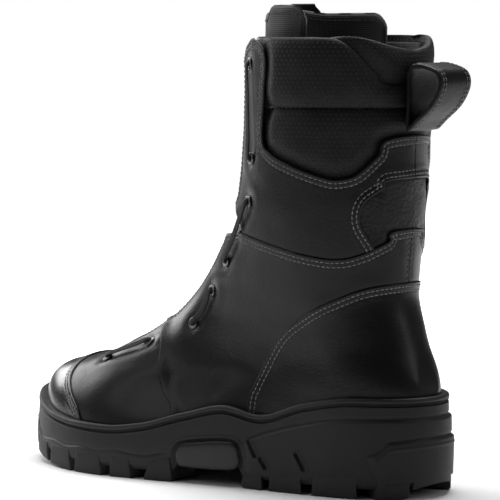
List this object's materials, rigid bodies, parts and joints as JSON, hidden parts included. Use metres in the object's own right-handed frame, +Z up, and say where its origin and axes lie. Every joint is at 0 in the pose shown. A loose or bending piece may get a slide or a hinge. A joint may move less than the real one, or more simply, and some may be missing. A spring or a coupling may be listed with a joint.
{
  "type": "firefighter boot",
  "caption": "Black leather firefighter's boot with a padded collar, a laced-in front zip, a heel pull loop, a safety toe and a deep-lugged rubber sole, for the left foot.",
  "frame": {"origin": "centre of the bounding box at the ground, under the waist of the sole", "axes": "-Y towards the toe, +Y towards the heel, +X towards the wearer's outer side, +Z up"},
  "size_m": [0.1156, 0.3216, 0.2958],
  "materials": {
    "upper_leather": "satin smooth full-grain leather",
    "toe_leather": "glossy abrasion-resistant coated leather",
    "collar_leather": "soft perforated padded leather",
    "outsole_rubber": "matte moulded rubber",
    "midsole_foam": "matte moulded polyurethane",
    "arch_plastic": "semi-gloss moulded plastic",
    "stiffener": "thermoformed sheet",
    "board": "fibre insole board",
    "footbed": "felt over foam",
    "lining": "knitted abrasion-resistant lining",
    "tongue_fabric": "padded grey-black textile",
    "webbing": "woven polyester tape",
    "lace": "flat woven lace",
    "zip_metal": "black oxidised metal",
    "eyelet_metal": "black enamelled metal",
    "steel": "bare sheet steel"
  },
  "bodies": {
    "boot": {"outsole": "outsole_rubber", "midsole": "midsole_foam", "rand": "outsole_rubber", "arch_insert_lateral": "arch_plastic", "arch_insert_medial": "arch_plastic", "puncture_plate": "steel", "insole_board": "board", "footbed": "footbed", "toe_bumper": "toe_leather", "collar_upper_roll": "collar_leather", "collar_lower_roll": "collar_leather", "collar_lining_roll": "lining", "lining": "lining", "heel_stiffener": "stiffener", "safety_toe_cap": "steel", "tongue": "tongue_fabric", "top_tab": "toe_leather", "zip_panel_lateral": "upper_leather", "zip_panel_medial": "upper_leather", "zip_tape_lateral": "webbing", "zip_tape_medial": "webbing", "zip_teeth_lateral": "zip_metal", "zip_teeth_medial": "zip_metal", "zip_top_stop": "zip_metal", "zip_bottom_stop": "zip_metal", "pull_loop": "upper_leather", "lace_lateral": "lace", "lace_medial": "lace", "vamp": "upper_leather", "quarter_lateral": "upper_leather", "quarter_medial": "upper_leather", "heel_counter": "upper_leather", "achilles_panel": "upper_leather", "shaft_lateral": "upper_leather", "shaft_medial": "upper_leather", "eyelet_lateral_1": "eyelet_metal", "eyelet_lateral_2": "eyelet_metal", "eyelet_lateral_3": "eyelet_metal", "eyelet_lateral_4": "eyelet_metal", "eyelet_lateral_5": "eyelet_metal", "eyelet_lateral_6": "eyelet_metal", "eyelet_lateral_7": "eyelet_metal", "eyelet_lateral_8": "eyelet_metal", "eyelet_medial_1": "eyelet_metal", "eyelet_medial_2": "eyelet_metal", "eyelet_medial_3": "eyelet_metal", "eyelet_medial_4": "eyelet_metal", "eyelet_medial_5": "eyelet_metal", "eyelet_medial_6": "eyelet_metal", "eyelet_medial_7": "eyelet_metal", "eyelet_medial_8": "eyelet_metal"},
    "slider": {"zip_slider": "zip_metal"},
    "pull": {"zip_pull": "zip_metal"}
  },
  "joints": [
    {"name": "zip_slide", "type": "slide", "parent": "boot", "child": "slider", "axis": [0, -0.0847, -0.9964], "range_m": [0, 0.074]},
    {"name": "pull_swing", "type": "hinge", "parent": "slider", "child": "pull", "pos_m": [-0.00139, 0.01805, 0.26195], "axis": [-1, 0, 0], "range_deg": [0, 150]}
  ]
}
